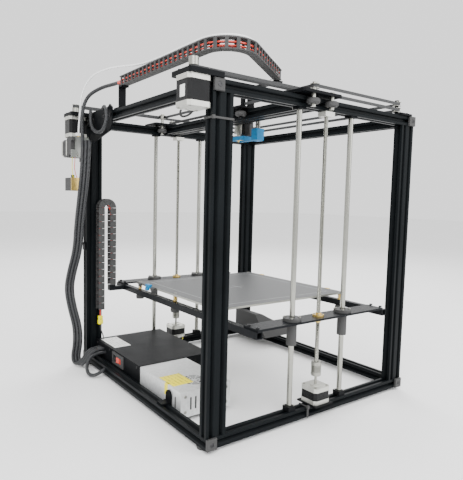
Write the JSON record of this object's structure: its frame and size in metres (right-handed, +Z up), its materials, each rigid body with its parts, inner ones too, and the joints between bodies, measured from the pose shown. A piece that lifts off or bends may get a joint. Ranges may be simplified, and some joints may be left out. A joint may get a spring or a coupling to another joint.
{
  "type": "fdm printer",
  "caption": "Open cube-frame 3-D printer: slotted bar frame, crossed-belt gantry with hot end, heated bed on two lead screws, supply and control box at the base",
  "frame": {"origin": "centre of the footprint, on the floor under the feet", "axes": "+X right seen from the front, +Y to the back where the belt motors are, +Z up"},
  "size_m": [0.6056, 0.6224, 0.6959],
  "materials": {
    "black_anodised": "black anodised extrusion",
    "black_steel": "black powder coat",
    "bright_steel": "polished",
    "aluminium": "machined",
    "brass": "brass",
    "black_plastic": "moulded",
    "blue_plastic": "printed",
    "red_plastic": "moulded",
    "clear_plastic": "clear",
    "rubber": "belt and foot rubber",
    "white_tube": "ptfe",
    "board_green": "printed board",
    "bed_surface": "textured sheet",
    "galvanised": "galvanised sheet"
  },
  "bodies": {
    "frame": {"bed_chain": "black_plastic", "cable_harness": "black_plastic", "cable_loop": "black_plastic", "control_board": "board_green", "control_box": "black_steel", "corner_posts": "black_anodised", "display": "black_plastic", "feed_body": "clear_plastic", "feed_tube": "white_tube", "feet_and_caps": "black_plastic", "filament_sensor": "black_plastic", "fixed_belts": "rubber", "frame_rails": "black_anodised", "motors": "aluminium", "mounting_plates": "black_steel", "power_inlet": "black_plastic", "power_supply": "galvanised", "rod_end_blocks": "black_steel", "side_belts": "rubber", "top_chain_fixed": "black_plastic", "z_rods": "bright_steel"},
    "gantry": {"gantry_end_plates": "black_steel", "gantry_beam": "black_anodised", "gantry_bolts": "bright_steel", "gantry_belts": "rubber", "top_chain_moving": "black_plastic"},
    "carriage": {"carriage_plate": "black_steel", "hot_end": "aluminium", "fan_duct": "blue_plastic", "level_sensor": "blue_plastic", "drop_tube": "white_tube"},
    "bed": {"bed_plate": "bed_surface", "bed_frame": "black_steel", "bed_bearings": "black_plastic", "screw_nuts": "brass", "levelling_sets": "brass"},
    "carriage_wheel_front": {"carriage_wheel_front": "black_plastic"},
    "carriage_wheel_left": {"carriage_wheel_left": "black_plastic"},
    "carriage_wheel_right": {"carriage_wheel_right": "black_plastic"},
    "drive_pulley_left": {"drive_pulley_left": "aluminium"},
    "drive_pulley_right": {"drive_pulley_right": "aluminium"},
    "feed_lever": {"feed_lever": "black_plastic"},
    "front_idler_lower_left": {"front_idler_lower_left": "aluminium"},
    "front_idler_lower_right": {"front_idler_lower_right": "aluminium"},
    "front_idler_upper_left": {"front_idler_upper_left": "aluminium"},
    "front_idler_upper_right": {"front_idler_upper_right": "aluminium"},
    "gantry_idler_inner_left": {"gantry_idler_inner_left": "aluminium"},
    "gantry_idler_inner_right": {"gantry_idler_inner_right": "aluminium"},
    "gantry_idler_outer_left": {"gantry_idler_outer_left": "aluminium"},
    "gantry_idler_outer_right": {"gantry_idler_outer_right": "aluminium"},
    "gantry_wheel_front_left": {"gantry_wheel_front_left": "black_plastic"},
    "gantry_wheel_front_right": {"gantry_wheel_front_right": "black_plastic"},
    "gantry_wheel_inner_left": {"gantry_wheel_inner_left": "black_plastic"},
    "gantry_wheel_inner_right": {"gantry_wheel_inner_right": "black_plastic"},
    "gantry_wheel_rear_left": {"gantry_wheel_rear_left": "black_plastic"},
    "gantry_wheel_rear_right": {"gantry_wheel_rear_right": "black_plastic"},
    "lead_screw_left": {"lead_screw_left": "bright_steel"},
    "lead_screw_right": {"lead_screw_right": "bright_steel"},
    "power_switch": {"power_switch": "red_plastic"},
    "supply_fan": {"supply_fan": "black_plastic"}
  },
  "joints": [
    {"name": "gantry_slide", "type": "slide", "parent": "frame", "child": "gantry", "axis": [0, 1, 0], "range_m": [-0.185, 0.15], "deforming": ["side_belts", "top_chain_fixed", "feed_tube"]},
    {"name": "carriage_slide", "type": "slide", "parent": "gantry", "child": "carriage", "axis": [1, 0, 0], "range_m": [-0.13, 0.165], "deforming": ["gantry_belts", "top_chain_moving", "drop_tube"]},
    {"name": "bed_slide", "type": "slide", "parent": "frame", "child": "bed", "axis": [0, 0, 1], "range_m": [-0.07, 0.335], "deforming": ["bed_chain"]},
    {"name": "lead_screw_left_spin", "type": "hinge", "parent": "frame", "child": "lead_screw_left", "pos_m": [-0.27, 0, 0.307], "axis": [0, 0, 1], "range_deg": [-15077, 3152]},
    {"name": "drive_pulley_left_spin", "type": "hinge", "parent": "frame", "child": "drive_pulley_left", "pos_m": [-0.2626, 0.29, 0.61975], "axis": [0, 0, 1], "range_deg": [-1659, 1345]},
    {"name": "front_idler_lower_left_spin", "type": "hinge", "parent": "frame", "child": "front_idler_lower_left", "pos_m": [-0.2626, -0.226, 0.61975], "axis": [0, 0, 1], "range_deg": [-1659, 1345]},
    {"name": "front_idler_upper_left_spin", "type": "hinge", "parent": "frame", "child": "front_idler_upper_left", "pos_m": [-0.2626, -0.226, 0.632], "axis": [0, 0, 1], "range_deg": [-1345, 1659]},
    {"name": "gantry_idler_inner_left_spin", "type": "hinge", "parent": "gantry", "child": "gantry_idler_inner_left", "pos_m": [-0.2498, 0.0625, 0.61975], "axis": [0, 0, 1], "range_deg": [-1166, 1480]},
    {"name": "gantry_idler_outer_left_spin", "type": "hinge", "parent": "gantry", "child": "gantry_idler_outer_left", "pos_m": [-0.2626, 0.026, 0.632], "axis": [0, 0, 1], "range_deg": [-1480, 1166]},
    {"name": "gantry_wheel_front_left_spin", "type": "hinge", "parent": "gantry", "child": "gantry_wheel_front_left", "pos_m": [-0.2908, 0.009, 0.597], "axis": [0, 0, 1], "range_deg": [-821, 1012]},
    {"name": "gantry_wheel_rear_left_spin", "type": "hinge", "parent": "gantry", "child": "gantry_wheel_rear_left", "pos_m": [-0.2908, 0.057, 0.597], "axis": [0, 0, 1], "range_deg": [-821, 1012]},
    {"name": "gantry_wheel_inner_left_spin", "type": "hinge", "parent": "gantry", "child": "gantry_wheel_inner_left", "pos_m": [-0.2498, 0.0625, 0.597], "axis": [0, 0, 1], "range_deg": [-1012, 821]},
    {"name": "lead_screw_right_spin", "type": "hinge", "parent": "frame", "child": "lead_screw_right", "pos_m": [0.27, 0, 0.307], "axis": [0, 0, 1], "range_deg": [-15077, 3152]},
    {"name": "drive_pulley_right_spin", "type": "hinge", "parent": "frame", "child": "drive_pulley_right", "pos_m": [0.2626, 0.29, 0.61975], "axis": [0, 0, 1], "range_deg": [-1345, 1659]},
    {"name": "front_idler_lower_right_spin", "type": "hinge", "parent": "frame", "child": "front_idler_lower_right", "pos_m": [0.2626, -0.226, 0.61975], "axis": [0, 0, 1], "range_deg": [-1659, 1345]},
    {"name": "front_idler_upper_right_spin", "type": "hinge", "parent": "frame", "child": "front_idler_upper_right", "pos_m": [0.2626, -0.226, 0.632], "axis": [0, 0, 1], "range_deg": [-1345, 1659]},
    {"name": "gantry_idler_inner_right_spin", "type": "hinge", "parent": "gantry", "child": "gantry_idler_inner_right", "pos_m": [0.2498, 0.0625, 0.632], "axis": [0, 0, 1], "range_deg": [-1166, 1480]},
    {"name": "gantry_idler_outer_right_spin", "type": "hinge", "parent": "gantry", "child": "gantry_idler_outer_right", "pos_m": [0.2626, 0.026, 0.61975], "axis": [0, 0, 1], "range_deg": [-1480, 1166]},
    {"name": "gantry_wheel_front_right_spin", "type": "hinge", "parent": "gantry", "child": "gantry_wheel_front_right", "pos_m": [0.2908, 0.009, 0.597], "axis": [0, 0, 1], "range_deg": [-1012, 821]},
    {"name": "gantry_wheel_rear_right_spin", "type": "hinge", "parent": "gantry", "child": "gantry_wheel_rear_right", "pos_m": [0.2908, 0.057, 0.597], "axis": [0, 0, 1], "range_deg": [-1012, 821]},
    {"name": "gantry_wheel_inner_right_spin", "type": "hinge", "parent": "gantry", "child": "gantry_wheel_inner_right", "pos_m": [0.2498, 0.0625, 0.597], "axis": [0, 0, 1], "range_deg": [-821, 1012]},
    {"name": "carriage_wheel_left_spin", "type": "hinge", "parent": "carriage", "child": "carriage_wheel_left", "pos_m": [-0.085, 0.0594, 0.6], "axis": [0, 0, 1], "range_deg": [-903, 712]},
    {"name": "carriage_wheel_right_spin", "type": "hinge", "parent": "carriage", "child": "carriage_wheel_right", "pos_m": [0.008, 0.0594, 0.6], "axis": [0, 0, 1], "range_deg": [-903, 712]},
    {"name": "carriage_wheel_front_spin", "type": "hinge", "parent": "carriage", "child": "carriage_wheel_front", "pos_m": [-0.04, -0.0014, 0.6], "axis": [0, 0, 1], "range_deg": [-712, 903]},
    {"name": "supply_fan_spin", "type": "hinge", "parent": "frame", "child": "supply_fan", "pos_m": [-0.112, 0.1815, 0.0485], "axis": [0, 0, 1], "continuous": true},
    {"name": "power_switch_rock", "type": "hinge", "parent": "frame", "child": "power_switch", "pos_m": [0.113, 0.242, 0.043], "axis": [0, 0, 1], "range_deg": [0, 14]},
    {"name": "feed_lever_press", "type": "hinge", "parent": "frame", "child": "feed_lever", "pos_m": [0.2468, 0.307, 0.519], "axis": [1, 0, 0], "range_deg": [-10, 0], "stiffness_Nm_per_rad": 2, "springref_deg": 2.86}
  ],
  "couplings": [
    {"joint": "lead_screw_left_spin", "follows": "bed_slide", "rad_per_m": -785.4},
    {"joint": "drive_pulley_left_spin", "follows": "gantry_slide", "rad_per_m": 156.25},
    {"joint": "front_idler_lower_left_spin", "follows": "gantry_slide", "rad_per_m": 156.25},
    {"joint": "front_idler_upper_left_spin", "follows": "gantry_slide", "rad_per_m": -156.25},
    {"joint": "gantry_idler_inner_left_spin", "follows": "carriage_slide", "rad_per_m": 156.25},
    {"joint": "gantry_idler_outer_left_spin", "follows": "carriage_slide", "rad_per_m": -156.25},
    {"joint": "gantry_wheel_front_left_spin", "follows": "gantry_slide", "rad_per_m": -95.238},
    {"joint": "gantry_wheel_rear_left_spin", "follows": "gantry_slide", "rad_per_m": -95.238},
    {"joint": "gantry_wheel_inner_left_spin", "follows": "gantry_slide", "rad_per_m": 95.238},
    {"joint": "lead_screw_right_spin", "follows": "bed_slide", "rad_per_m": -785.4},
    {"joint": "drive_pulley_right_spin", "follows": "gantry_slide", "rad_per_m": -156.25},
    {"joint": "front_idler_lower_right_spin", "follows": "gantry_slide", "rad_per_m": 156.25},
    {"joint": "front_idler_upper_right_spin", "follows": "gantry_slide", "rad_per_m": -156.25},
    {"joint": "gantry_idler_inner_right_spin", "follows": "carriage_slide", "rad_per_m": 156.25},
    {"joint": "gantry_idler_outer_right_spin", "follows": "carriage_slide", "rad_per_m": -156.25},
    {"joint": "gantry_wheel_front_right_spin", "follows": "gantry_slide", "rad_per_m": 95.238},
    {"joint": "gantry_wheel_rear_right_spin", "follows": "gantry_slide", "rad_per_m": 95.238},
    {"joint": "gantry_wheel_inner_right_spin", "follows": "gantry_slide", "rad_per_m": -95.238},
    {"joint": "carriage_wheel_left_spin", "follows": "carriage_slide", "rad_per_m": -95.238},
    {"joint": "carriage_wheel_right_spin", "follows": "carriage_slide", "rad_per_m": -95.238},
    {"joint": "carriage_wheel_front_spin", "follows": "carriage_slide", "rad_per_m": 95.238}
  ]
}
